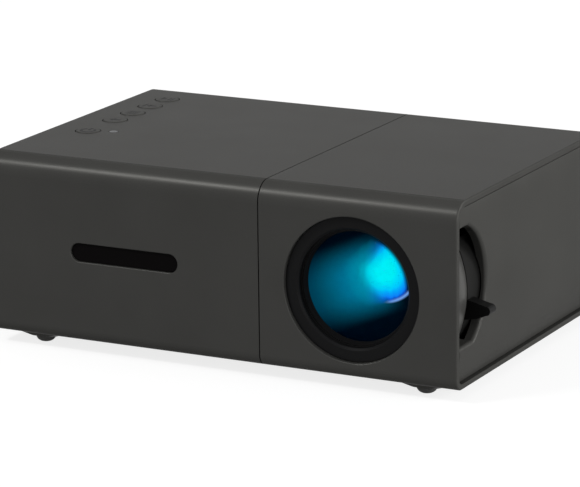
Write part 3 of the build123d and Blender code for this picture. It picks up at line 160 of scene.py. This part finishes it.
def turned(tree, x, y, angle):
    """How far a point lies along a direction, and aside from it."""
    cos, sin = math.cos(angle), math.sin(angle)
    along = math_node(tree, "MULTIPLY_ADD", x, cos, math_node(tree, "MULTIPLY", y, sin))
    aside = math_node(tree, "MULTIPLY_ADD", x, -sin, math_node(tree, "MULTIPLY", y, cos))
    return along, aside


def noise(tree, vector, size, detail=2.0):
    """Noise from 0 to 1 whose features are this large, in metres."""
    node = add(tree, "ShaderNodeTexNoise")
    tree.links.new(vector, node.inputs["Vector"])
    node.inputs["Scale"].default_value = 1 / size
    node.inputs["Detail"].default_value = detail
    return node.outputs["Fac"]


def spread(tree, value, low, high, low_in=0.3, high_in=0.7, kind="LINEAR"):
    """A value from one range moved to another, clamped. Noise lies mostly from 0.3 to 0.7."""
    node = add(tree, "ShaderNodeMapRange", interpolation_type=kind)
    for socket, number in zip(node.inputs[:5], (value, low_in, high_in, low, high)):
        feed(tree, socket, number)
    return node.outputs[0]


def rise(tree, value, start, end, kind="LINEAR"):
    """From 0 to 1 as a value goes from start to end."""
    return spread(tree, value, 0, 1, start, end, kind)


def fall(tree, value, start, end, kind="LINEAR"):
    """From 1 to 0 as a value goes from start to end."""
    return spread(tree, value, 1, 0, start, end, kind)


def blend(tree, factor, first, second):
    """A colour between two others."""
    node = add(tree, "ShaderNodeMix", data_type="RGBA")
    feed(tree, node.inputs[0], factor)
    feed(tree, node.inputs[6], first)
    feed(tree, node.inputs[7], second)
    return node.outputs[2]


def shade(colour, gain):
    """A colour made lighter or darker, with its alpha."""
    return tuple(min(1.0, channel * gain) for channel in colour[:3]) + (1.0,)


def drift(tree, value, colour, tone):
    """A colour that drifts this far to both sides with a noise."""
    dark, light = shade(colour, 1 - tone), shade(colour, 1 + tone)
    return blend(tree, spread(tree, value, 0, 1), dark, light)


def bump(tree, shader, height, depth):
    """Relief of this depth in metres from a height between 0 and 1."""
    node = add(tree, "ShaderNodeBump")
    node.inputs["Distance"].default_value = depth
    tree.links.new(height, node.inputs["Height"])
    tree.links.new(node.outputs["Normal"], shader.inputs["Normal"])


# Looks

SHELL_GREY = (0.0655, 0.065, 0.0615)
PAINT_LEVEL = 0.02
PAINT_METAL = 0.3
PAINT_TINT = (0.26, 0.26, 0.25, 1)

PLASTIC_DRIFT = 18 * MM
PLASTIC_GLOSS_DRIFT = 0.05
GRAIN_SHARE = 0.55

METAL_MARKS = 0.2 * MM
METAL_DRIFT = 4 * MM
METAL_TONE = 0.15
METAL_GLOSS_DRIFT = 0.08
METAL_RELIEF = 0.004 * MM

GLASS_ROUGH = 0.02
GLASS_DRIFT = 3 * MM
GLASS_TONE = 0.97

MASK_GREEN = (0.012, 0.075, 0.03, 1)
TRACK_GREEN = (0.03, 0.15, 0.06, 1)
TINNED = (0.55, 0.56, 0.55, 1)
TRACKS_PER_METRE = 260.0
TRACK_WIDTH = 0.09
TRACK_RELIEF = 0.03 * MM
TRACK_PATCHES = (0.48, 0.52)
PADS_PER_METRE = 420.0
PAD_SIZE = 0.16
PAD_PATCHES = (0.56, 0.6)
BOARD_PATCH = 6 * MM


def plastic(name, colour, rough, grain=0.25 * MM, relief=0.006 * MM, tone=0.1, level=0.3):
    """Moulded or painted plastic with a fine grain, and tone and gloss that drift a little."""
    material, tree, shader = new_look(name, Specular_IOR_Level=level)
    where = place(tree)
    fine = noise(tree, where, grain, detail=3.0)
    broad = noise(tree, where, PLASTIC_DRIFT, detail=4.0)
    broad = math_node(tree, "MULTIPLY", broad, 1 - GRAIN_SHARE)
    both = math_node(tree, "MULTIPLY_ADD", fine, GRAIN_SHARE, broad)
    tree.links.new(drift(tree, both, colour, tone), shader.inputs["Base Color"])
    gloss = spread(tree, both, rough - PLASTIC_GLOSS_DRIFT, rough + PLASTIC_GLOSS_DRIFT)
    tree.links.new(gloss, shader.inputs["Roughness"])
    bump(tree, shader, fine, relief)
    return material


def satin_paint(name, rough):
    """Dark satin paint with a little metal in it, whose sheen stays low at flat angles."""
    look = plastic(name, SHELL_GREY, rough, level=PAINT_LEVEL)
    shader = look.node_tree.nodes["Principled BSDF"]
    shader.inputs["Metallic"].default_value = PAINT_METAL
    shader.inputs["Specular Tint"].default_value = PAINT_TINT
    return look


def metal(name, colour, rough, brushed=(1.0, 1.0, 1.0)):
    """Plated or brushed metal, with fine marks along one axis and a drift in its tone."""
    material, tree, shader = new_look(name, Metallic=1.0)
    marks = noise(tree, place(tree, brushed), METAL_MARKS, detail=4.0)
    broad = noise(tree, place(tree), METAL_DRIFT, detail=3.0)
    tree.links.new(drift(tree, broad, colour, METAL_TONE), shader.inputs["Base Color"])
    gloss = spread(tree, marks, rough - METAL_GLOSS_DRIFT, rough + METAL_GLOSS_DRIFT)
    tree.links.new(gloss, shader.inputs["Roughness"])
    bump(tree, shader, marks, METAL_RELIEF)
    return material


def socket_metal(name):
    """Bright plated sheet metal, rolled from front to back."""
    return metal(name, (0.62, 0.61, 0.59), 0.25, brushed=(1, 0.1, 1))


def clear_glass(name, colour, index):
    """Coated clear glass, with a faint drift in its polish."""
    material, tree, shader = new_look(name, Transmission_Weight=1.0, IOR=index)
    polish = noise(tree, place(tree), GLASS_DRIFT)
    colours = blend(tree, polish, shade(colour, GLASS_TONE), shade(colour, 1.0))
    tree.links.new(colours, shader.inputs["Base Color"])
    gloss = spread(tree, polish, GLASS_ROUGH * 0.5, GLASS_ROUGH * 1.5)
    tree.links.new(gloss, shader.inputs["Roughness"])
    return material


def circuit_board(name):
    """Green solder mask over copper tracks, with tinned pads."""
    material, tree, shader = new_look(name, Specular_IOR_Level=0.4)
    where = place(tree)
    tracks = add(tree, "ShaderNodeTexBrick", offset=0.5, squash=1.0)
    tracks.inputs["Scale"].default_value = TRACKS_PER_METRE
    tracks.inputs["Mortar Size"].default_value = TRACK_WIDTH
    tree.links.new(where, tracks.inputs["Vector"])
    pads = add(tree, "ShaderNodeTexVoronoi", feature="F1", distance="CHEBYCHEV")
    pads.inputs["Scale"].default_value = PADS_PER_METRE
    tree.links.new(where, pads.inputs["Vector"])
    patches = noise(tree, where, BOARD_PATCH)
    is_track = product(tree, tracks.outputs["Fac"], rise(tree, patches, *TRACK_PATCHES))
    near_pad = math_node(tree, "LESS_THAN", pads.outputs["Distance"], PAD_SIZE)
    is_pad = product(tree, near_pad, rise(tree, patches, *PAD_PATCHES))
    mask = blend(tree, is_track, MASK_GREEN, TRACK_GREEN)
    tree.links.new(blend(tree, is_pad, mask, TINNED), shader.inputs["Base Color"])
    tree.links.new(is_pad, shader.inputs["Metallic"])
    tree.links.new(spread(tree, patches, 0.28, 0.4), shader.inputs["Roughness"])
    bump(tree, shader, is_track, TRACK_RELIEF)
    return material


LOOKS = {
    "shell": satin_paint("shell", 0.33),
    "end_panel": satin_paint("end_panel", 0.36),
    "key_cap": satin_paint("key_cap", 0.36),
    "black_plastic": plastic("black_plastic", (0.0092, 0.0092, 0.0096), 0.42, level=0.06),
    "dark_plastic": plastic("dark_plastic", (0.0145, 0.0145, 0.014), 0.5, level=0.02),
    "gloss_black": plastic(
        "gloss_black", (0.006, 0.006, 0.006), 0.42, relief=0.002 * MM, level=0.04
    ),
    "ir_pane": plastic(
        "ir_pane", (0.0042, 0.0034, 0.0036), 0.22, relief=0.0005 * MM, level=0.02
    ),
    "lamp_pipe": plastic("lamp_pipe", (0.06, 0.063, 0.066), 0.3, level=0.1),
    "foot_rubber": plastic(
        "foot_rubber", (0.14, 0.14, 0.135), 0.7, relief=0.02 * MM, level=0.15
    ),
    "chip_black": plastic("chip_black", (0.012, 0.012, 0.013), 0.5),
    "flex_film": plastic("flex_film", (0.42, 0.16, 0.025), 0.3, relief=0.003 * MM),
    "connector_cream": plastic("connector_cream", (0.6, 0.54, 0.4), 0.45),
    "speaker_cone": plastic(
        "speaker_cone", (0.018, 0.018, 0.018), 0.75, grain=0.6 * MM, relief=0.04 * MM
    ),
    "led_board": plastic("led_board", (0.72, 0.71, 0.68), 0.4),
    "display": plastic("display", (0.01, 0.012, 0.018), 0.15, level=0.5),
    "steel": metal("steel", (0.42, 0.42, 0.41), 0.35),
    "socket_metal": socket_metal("socket_metal"),
    "brass": metal("brass", (0.62, 0.42, 0.16), 0.3),
    "sink_metal": metal("sink_metal", (0.68, 0.69, 0.7), 0.38, brushed=(1, 1, 0.06)),
    "lens_glass": clear_glass("lens_glass", (0.93, 0.97, 1.0), index=1.045),
    "clear_plate": clear_glass("clear_plate", (0.96, 0.97, 0.97), index=1.3),
    "circuit_board": circuit_board("circuit_board"),
}


def dress(node, look):
    """Gives a carried-over node its look."""
    mesh = node.data
    mesh.materials.clear()
    mesh.materials.append(look)


for subpart in frame["record"]["subparts"]:
    dress(frame["nodes"][subpart["node"]], LOOKS[subpart["material_slot"]])


# The curved lip beside the lever's opening is smoother than the panel round it, so it shows the
# bright surroundings at a flat angle. It is what lies this near the lens axis, in millimetres.
LIP_RADIUS = 27.13
LIP_SHEEN = (1.0, 1.0, 1.0, 1)


def polish_lip(look):
    """Gives the end panel's lip its sheen."""
    tree = look.node_tree
    shader = tree.nodes["Principled BSDF"]
    on_lip = math_node(tree, "LESS_THAN", length(tree, *place_from_lens(tree)), LIP_RADIUS)
    tree.links.new(blend(tree, on_lip, PAINT_TINT, LIP_SHEEN), shader.inputs["Specular Tint"])


polish_lip(LOOKS["end_panel"])


# The two wide sockets: a black insulator with gilt contacts inside the bright shell. Sizes are in
# millimetres: the tongue's width, thickness and rise, then its number of contacts.
INSULATORS = {
    "hdmi_socket": (11.0, 1.4, 0.4, 9),
    "usb_socket": (10.6, 1.8, 1.0, 4),
}
SOCKET_BACK = 2.0
BACK_SKIN = 0.05
TONGUE_SKIN = 0.03
CONTACT_SKIN = 0.05
CONTACT_BACK = 2.0
CONTACT_MARGIN = 0.5
CONTACT_HALF_SHARE = 0.24
# A whole number of contacts, added so that the count along the tongue is never below zero
CONTACTS_ASIDE = 100
INSULATOR_BLACK = (0.01, 0.01, 0.011, 1)
GILT = (0.75, 0.52, 0.2, 1)


def socket_look(node, width, thickness, rise_mm, contacts):
    """Bright sheet metal outside; the tongue and the back wall are black, with gilt contacts."""
    low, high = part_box(node)
    middle = (low + high) / (2 * MM)
    tongue_z = middle.z + rise_mm
    material = socket_metal(node)
    tree = material.node_tree
    shader = tree.nodes["Principled BSDF"]
    bright = shader.inputs["Base Color"].links[0].from_socket
    x, y, z = place_mm(tree)
    on_tongue = product(
        tree,
        within(tree, x, middle.x, width / 2 + TONGUE_SKIN),
        within(tree, z, tongue_z, thickness / 2 + TONGUE_SKIN),
    )
    on_back = math_node(tree, "LESS_THAN", y, low.y / MM + SOCKET_BACK + BACK_SKIN)
    black = largest(tree, on_tongue, on_back)
    pitch = (width - 2 * CONTACT_MARGIN) / contacts
    first = (middle.x - width / 2 + CONTACT_MARGIN) / pitch
    count = math_node(tree, "MULTIPLY_ADD", x, 1 / pitch, CONTACTS_ASIDE - first)
    on_contacts = product(
        tree,
        within(tree, math_node(tree, "FRACT", count), 0.5, CONTACT_HALF_SHARE),
        within(tree, x, middle.x, width / 2 - CONTACT_MARGIN),
        within(tree, z, tongue_z - thickness / 2, CONTACT_SKIN),
        math_node(tree, "LESS_THAN", y, high.y / MM - CONTACT_BACK),
    )
    dark = blend(tree, on_contacts, INSULATOR_BLACK, GILT)
    tree.links.new(blend(tree, black, bright, dark), shader.inputs["Base Color"])
    bare = largest(tree, math_node(tree, "SUBTRACT", 1.0, black), on_contacts)
    tree.links.new(bare, shader.inputs["Metallic"])
    return material


for node, sizes in INSULATORS.items():
    dress(frame["nodes"][node], socket_look(node, *sizes))


# The lens's painted reflection: a dark dome just behind the front glass, whose black is
# painted shade for the dark inside of the lens, with the coloured glow that the photograph shows
# painted on it as emission. Its places are in millimetres from the lens axis, to the right and
# up.
# Painted shade: black for the dark inside of the lens
LENS_PAINTED_SHADE = (0.0, 0.0015, 0.004, 1)
PAINTED_DOME_ROUGH = 0.15

# The glow is a painted reflection, given off as emission: an oval, taller above its centre, with
# one slanted edge. Its rings are told by their distance from the centre, where 1 is the oval's
# edge.
GLOW_CENTRE = (6.9, 4.4)
GLOW_HALF = (7.3, 6.9)
GLOW_TALLER = 2.6
GLOW_SLANT = 8.2
GLOW_SLANT_IN = 2.5
GLOW_CORNER = 0.12
GLOW_RIM = (11.7, 12.6)
GLOW_SOFT_SIDE = (-0.8, 0.2)
# Colours of the painted reflection
GLOW_CYAN = (0.0, 0.87, 0.95, 1)
GLOW_BLUE = (0.0, 0.5, 1, 1)
GLOW_PALE_TEAL = (0.0, 0.55, 0.68, 1)
GLOW_DEEP_BLUE = (0.005, 0.13, 0.9, 1)
GLOW_DARK_TEAL = (0.0, 0.3, 0.42, 1)
TURNS_BLUE = (0.3, 0.72)
TURNS_DEEP = (0.62, 0.95)
STREAK_SIZE = 1.1 * MM
STREAK_STRETCH = (1, 0, 0.12)
STREAK_DEPTH = 0.14

# The glow's edge: where it ends and where it is full at the sharp side, and how much that moves
# at the soft side
EDGE_END, EDGE_END_SOFT = 1.06, 0.38
EDGE_FULL, EDGE_FULL_SOFT = 0.88, -0.4

# The beam, also painted reflection, starts in the glow and runs to the lower left
BEAM_START = (3.6, 2.9)
BEAM_TURN = math.radians(203)
BEAM_SIDES = (1.4, 10.6)
BEAM_RUN = (1.0, 18.5)
BEAM_END = 0.22
BEAM_RISE = (-6.5, 0.5)
BEAM_TEAL = (0.0, 0.2, 0.35, 1)
BEAM_NIGHT = (0.0, 0.0008, 0.003, 1)

# The arc is a painted highlight: a thin bright line on the glow's edge, at its lower right
ARC_RING = 1.03
ARC_HALF = 0.075
ARC_PEAK = 0.8
ARC_TURN = math.radians(-52)
ARC_ENDS = (0.8, 1.0)
PAINTED_HIGHLIGHT_BLUE = (0.22, 0.45, 1, 1)


def glow_rings(tree, across, up):
    """Places in the glow: its own two axes, and the distance from its centre."""
    glow_x = math_node(tree, "SUBTRACT", across, GLOW_CENTRE[0])
    glow_x = math_node(tree, "DIVIDE", glow_x, GLOW_HALF[0])
    above = math_node(tree, "SUBTRACT", up, GLOW_CENTRE[1])
    upper = math_node(tree, "GREATER_THAN", above, 0.0)
    half_z = math_node(tree, "MULTIPLY_ADD", upper, GLOW_TALLER, GLOW_HALF[1])
    glow_z = math_node(tree, "DIVIDE", above, half_z)
    slant = math_node(tree, "SUBTRACT", up, across)
    slant = math_node(tree, "MULTIPLY_ADD", slant, 1 / GLOW_SLANT, GLOW_SLANT_IN / GLOW_SLANT)
    ring = math_node(tree, "SMOOTH_MAX", length(tree, glow_x, glow_z), slant, GLOW_CORNER)
    return glow_x, glow_z, ring


def painted_reflection_look():
    """Painted shade, with a painted cyan glow at one side and a teal beam that fades across it.
    """
    # The dome's black is painted shade, and its emission is the painted reflection
    material, tree, shader = new_look(
        "lens_painted_reflection",
        Base_Color=LENS_PAINTED_SHADE,
        Roughness=PAINTED_DOME_ROUGH,
        Specular_IOR_Level=0.0,
        Emission_Strength=1.0,
    )
    across, up = place_from_lens(tree)
    glow_x, glow_z, ring = glow_rings(tree, across, up)

    # The painted glow: streaked, soft to the left, sharp to the right, and cut off by the rim
    streaks = noise(tree, place(tree, STREAK_STRETCH), STREAK_SIZE)
    centred = math_node(tree, "ADD", ring, -STREAK_DEPTH / 2)
    streaked = math_node(tree, "MULTIPLY_ADD", streaks, STREAK_DEPTH, centred)
    soft = fall(tree, glow_x, *GLOW_SOFT_SIDE, "SMOOTHSTEP")
    end = math_node(tree, "MULTIPLY_ADD", soft, EDGE_END_SOFT, EDGE_END)
    full = math_node(tree, "MULTIPLY_ADD", soft, EDGE_FULL_SOFT, EDGE_FULL)
    inside = fall(tree, length(tree, across, up), *GLOW_RIM)
    glow = product(tree, rise(tree, streaked, end, full), inside)
    cool = blend(tree, soft, GLOW_BLUE, GLOW_PALE_TEAL)
    cyan = blend(tree, rise(tree, streaked, *TURNS_BLUE), GLOW_CYAN, cool)
    fringe = blend(tree, soft, GLOW_DEEP_BLUE, GLOW_DARK_TEAL)
    cyan = blend(tree, rise(tree, streaked, *TURNS_DEEP), cyan, fringe)

    # The beam, painted reflection
    beam_x = math_node(tree, "SUBTRACT", across, BEAM_START[0])
    beam_z = math_node(tree, "SUBTRACT", up, BEAM_START[1])
    along, aside = turned(tree, beam_x, beam_z, BEAM_TURN)
    beam = product(
        tree,
        fall(tree, math_node(tree, "ABSOLUTE", aside), *BEAM_SIDES, "SMOOTHSTEP"),
        spread(tree, along, 1, BEAM_END, *BEAM_RUN, "SMOOTHSTEP"),
        rise(tree, along, *BEAM_RISE, "SMOOTHSTEP"),
    )
    teal = blend(tree, beam, BEAM_NIGHT, BEAM_TEAL)

    # The arc, a painted highlight
    off_ring = math_node(tree, "ABSOLUTE", math_node(tree, "SUBTRACT", ring, ARC_RING))
    facing, _ = turned(tree, glow_x, glow_z, ARC_TURN)
    arc = product(
        tree,
        spread(tree, off_ring, ARC_PEAK, 0, 0.0, ARC_HALF),
        rise(tree, facing, *ARC_ENDS, "SMOOTHSTEP"),
    )
    lit = blend(tree, glow, teal, cyan)
    tree.links.new(blend(tree, arc, lit, PAINTED_HIGHLIGHT_BLUE), shader.inputs["Emission Color"])
    return material


def finish_mesh(shape, name):
    """A mesh from a worked shape, with its faces turned outwards."""
    bmesh.ops.recalc_face_normals(shape, faces=shape.faces)
    mesh = bpy.data.meshes.new(name)
    shape.to_mesh(mesh)
    shape.free()
    return mesh


def add_piece(name, mesh, body, look):
    """A piece of the object that rides on a body and takes the look it is given."""
    piece = bpy.data.objects.new(name, mesh)
    bpy.context.scene.collection.objects.link(piece)
    mesh.materials.append(look)
    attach(piece, body)
    return piece


def lens_dome(name, radius, front_y, bulge, rings=24, spokes=96):
    """A shallow dome about the lens axis: its edge at front_y, its middle this much nearer."""
    ball = (radius**2 + bulge**2) / (2 * bulge)
    shape = bmesh.new()
    rows = []
    for ring in range(1, rings + 1):
        r = radius * ring / rings
        y = front_y - bulge + ball - math.sqrt(ball**2 - r**2)
        rows.append([
            shape.verts.new((
                LENS_CENTRE.x + r * math.cos(math.tau * spoke / spokes),
                y,
                LENS_CENTRE.z + r * math.sin(math.tau * spoke / spokes),
            ))
            for spoke in range(spokes)
        ])
    tip = shape.verts.new((LENS_CENTRE.x, front_y - bulge, LENS_CENTRE.z))
    for spoke in range(spokes):
        after = (spoke + 1) % spokes
        shape.faces.new((tip, rows[0][spoke], rows[0][after]))
        for inner, outer in zip(rows, rows[1:]):
            shape.faces.new((inner[spoke], outer[spoke], outer[after], inner[after]))
    for face in shape.faces:
        face.smooth = True
    return finish_mesh(shape, name)


# The dome of painted shade and painted reflection sits just behind the front glass
LENS_BULGE = 1.6 * MM
PAINTED_DOME_DEPTH = 0.3 * MM
PAINTED_DOME_EDGE_GAP = 0.05 * MM
dome = lens_dome(
    "lens_painted_reflection",
    LENS_RADIUS - PAINTED_DOME_EDGE_GAP,
    LENS_LOW.y + LENS_BULGE + PAINTED_DOME_DEPTH,
    LENS_BULGE,
)
add_piece("lens_painted_reflection", dome, "lens_cell", painted_reflection_look())


# Printed signs on the keys: flat shapes in millimetres from the key's middle, seen from above
# with the lens side to the bottom
SIGN_HEIGHT = 0.012 * MM


def bar(x, y, width, depth):
    """A rectangle about a point."""
    return [
        (x - width / 2, y - depth / 2),
        (x + width / 2, y - depth / 2),
        (x + width / 2, y + depth / 2),
        (x - width / 2, y + depth / 2),
    ]


def arc_band(radius, width, start, end, steps=28):
    """Part of a ring, from one angle to another in degrees."""
    angles = [math.radians(start + (end - start) * step / steps) for step in range(steps + 1)]
    outer, inner = [
        [(r * math.cos(angle), r * math.sin(angle)) for angle in angles]
        for r in (radius + width / 2, radius - width / 2)
    ]
    return outer + inner[::-1]


SIGNS = {
    "power_key": [arc_band(1.75, 0.75, 125, 415), bar(0, 1.35, 0.7, 2.2)],
    "back_key": [
        [(-1.7, 0), (-0.2, -1.3), (-0.2, 1.3)],
        bar(0.7, 0, 1.8, 0.8),
    ],
    "menu_key": [bar(0, offset, 3.0, 0.55) for offset in (-1.15, 0, 1.15)],
    "source_key": [
        bar(-1.5, 0, 0.5, 3.0),
        bar(0.9, 0, 1.8, 0.7),
        [(-1.0, 0), (0.2, -1.1), (0.2, 1.1)],
    ],
    "play_key": [
        [(0.1, 0), (-1.6, -1.4), (-1.6, 1.4)],
        bar(0.75, 0, 0.5, 2.6),
        bar(1.6, 0, 0.5, 2.6),
    ],
}


def add_sign(key, outlines, look):
    """Thin flat prints on the top of a key."""
    low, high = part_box(key)
    middle = (low + high) / 2
    shape = bmesh.new()
    for outline in outlines:
        under, top = [
            [
                shape.verts.new((middle.x + x * MM, middle.y + y * MM, high.z + height))
                for x, y in outline
            ]
            for height in (0.0, SIGN_HEIGHT)
        ]
        shape.faces.new(under[::-1])
        shape.faces.new(top)
        for step in range(len(outline)):
            after = (step + 1) % len(outline)
            shape.faces.new((under[step], under[after], top[after], top[step]))
    mesh = finish_mesh(shape, key + "_sign")
    add_piece(key + "_sign", mesh, key, look)


print_black = plastic("print_black", (0.014, 0.014, 0.014), 0.5, level=0.05)
for key, outlines in SIGNS.items():
    add_sign(key, outlines, print_black)


# Floor, world and lamps

FLOOR_SIZE = 12
FLOOR_GLOW = 0.8
FLOOR_SEEN = (0.35, 0.35, 0.35, 1)
FLOOR_BOUNCE = (0.24, 0.24, 0.24, 1)
WHITE = (1, 1, 1, 1)
WORLD_FILL = 0.335

# Each lamp's name, place, width, height and power
LAMPS = [
    ("side_lamp", (1.1, -0.22, 0.38), 0.7, 0.7, 5.5),
    ("far_side_lamp", (0.95, 0.72, 0.24), 0.5, 0.5, 6.5),
    ("edge_lamp", (-0.536, -0.6, 0.92), 0.35, 0.13, 4.2),
]
LAMP_AIM = Vector((0.0, 0.0, 0.03))


def seen_or_mirrored(tree):
    """Whether a ray comes from the camera, a mirroring surface or clear glass."""
    path = add(tree, "ShaderNodeLightPath")
    names = ("Is Glossy Ray", "Is Transmission Ray", "Is Camera Ray")
    return largest(tree, *(path.outputs[name] for name in names))


def mix_shaders(tree, factor, first, second):
    """One shader or the other."""
    node = add(tree, "ShaderNodeMixShader")
    for socket, source in zip(node.inputs, (factor, first, second)):
        tree.links.new(source, socket)
    return node.outputs[0]


def diffuse(tree, colour):
    """A plain matt shader."""
    node = add(tree, "ShaderNodeBsdfDiffuse")
    node.inputs["Color"].default_value = colour
    return node.outputs[0]


def background(tree, strength):
    """A white world of this strength."""
    node = add(tree, "ShaderNodeBackground")
    node.inputs["Color"].default_value = WHITE
    node.inputs["Strength"].default_value = strength
    return node.outputs[0]


def add_floor():
    """A pale floor that keeps the object's shadow, and shows from above only."""
    bpy.ops.mesh.primitive_plane_add(size=FLOOR_SIZE)
    floor = bpy.context.object
    floor.name = "floor"
    material = bpy.data.materials.new("floor")
    material.use_nodes = True
    tree = material.node_tree
    tree.nodes.clear()
    glow = add(tree, "ShaderNodeEmission")
    glow.inputs["Strength"].default_value = FLOOR_GLOW
    pale = add(tree, "ShaderNodeAddShader")
    tree.links.new(diffuse(tree, FLOOR_SEEN), pale.inputs[0])
    tree.links.new(glow.outputs[0], pale.inputs[1])
    above = mix_shaders(
        tree, seen_or_mirrored(tree), diffuse(tree, FLOOR_BOUNCE), pale.outputs[0]
    )
    below = add(tree, "ShaderNodeBsdfTransparent").outputs[0]
    from_below = add(tree, "ShaderNodeNewGeometry").outputs["Backfacing"]
    out = add(tree, "ShaderNodeOutputMaterial")
    tree.links.new(mix_shaders(tree, from_below, above, below), out.inputs[0])
    floor.data.materials.append(material)


def add_world():
    """White where it is seen or mirrored, and a soft grey fill for the object."""
    world = bpy.data.worlds.new("world")
    bpy.context.scene.world = world
    world.use_nodes = True
    tree = world.node_tree
    tree.nodes.clear()
    fill, white = background(tree, WORLD_FILL), background(tree, 1.0)
    out = add(tree, "ShaderNodeOutputWorld")
    tree.links.new(mix_shaders(tree, seen_or_mirrored(tree), fill, white), out.inputs[0])


def add_lamp(name, place_m, width, height, power):
    """A soft lamp that shines at the object."""
    data = bpy.data.lights.new(name, "AREA")
    data.shape = "RECTANGLE"
    data.size = width
    data.size_y = height
    data.energy = power
    lamp = bpy.data.objects.new(name, data)
    lamp.location = place_m
    lamp.rotation_mode = "QUATERNION"
    lamp.rotation_quaternion = (LAMP_AIM - Vector(place_m)).to_track_quat("-Z", "Y")
    bpy.context.scene.collection.objects.link(lamp)


add_camera()
add_floor()
add_world()
for lamp in LAMPS:
    add_lamp(*lamp)

view = bpy.context.scene.view_settings
view.view_transform = "Standard"
